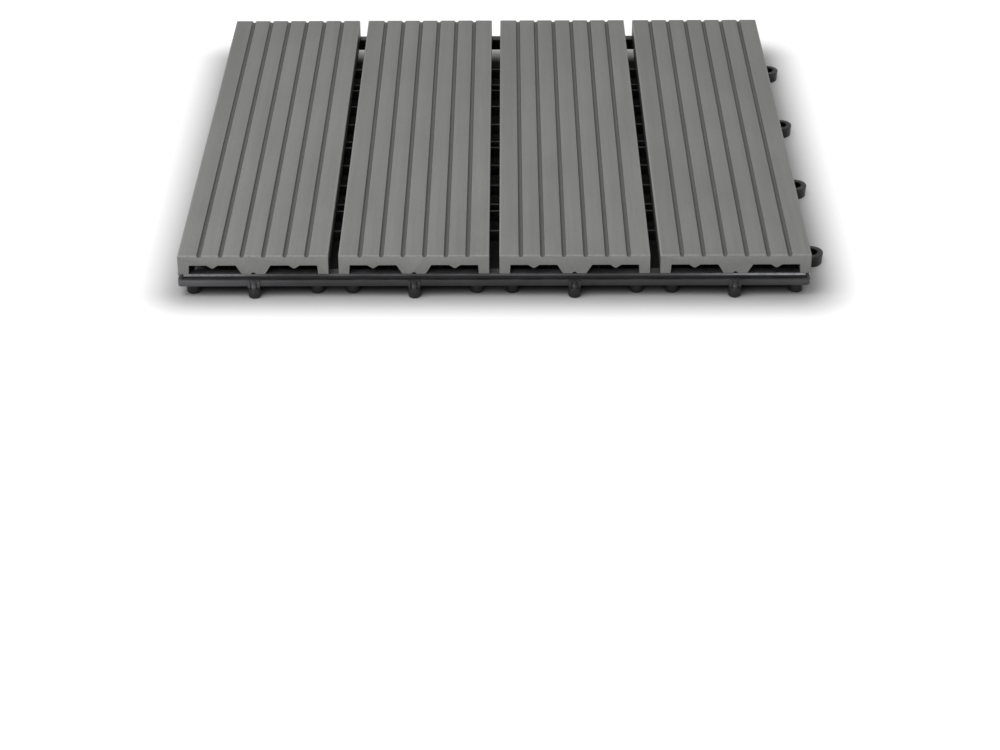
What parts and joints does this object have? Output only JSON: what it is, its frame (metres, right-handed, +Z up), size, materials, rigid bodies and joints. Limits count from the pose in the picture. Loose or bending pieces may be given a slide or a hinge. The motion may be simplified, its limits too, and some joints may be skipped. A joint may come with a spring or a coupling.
{
  "type": "interlocking deck tile",
  "caption": "Square interlocking deck tile: grooved composite planks on a plastic grid base with pegs along two edges and loops along the other two.",
  "frame": {"origin": "centre of the outline, pegs and loops included, on the plane the feet stand on", "axes": "+Z up; the planks run along Y; pegs hang from the -X and -Y edges, loops reach out at +X and +Y"},
  "size_m": [0.3124, 0.3124, 0.022],
  "materials": {
    "grid_plastic": "satin moulded black",
    "plank_composite": "brushed wood-plastic composite, grey",
    "screw_steel": "zinc-plated"
  },
  "bodies": {
    "root": {"base_grid": "grid_plastic", "plank_1": "plank_composite", "plank_2": "plank_composite", "plank_3": "plank_composite", "plank_4": "plank_composite", "screws": "screw_steel"}
  },
  "joints": []
}
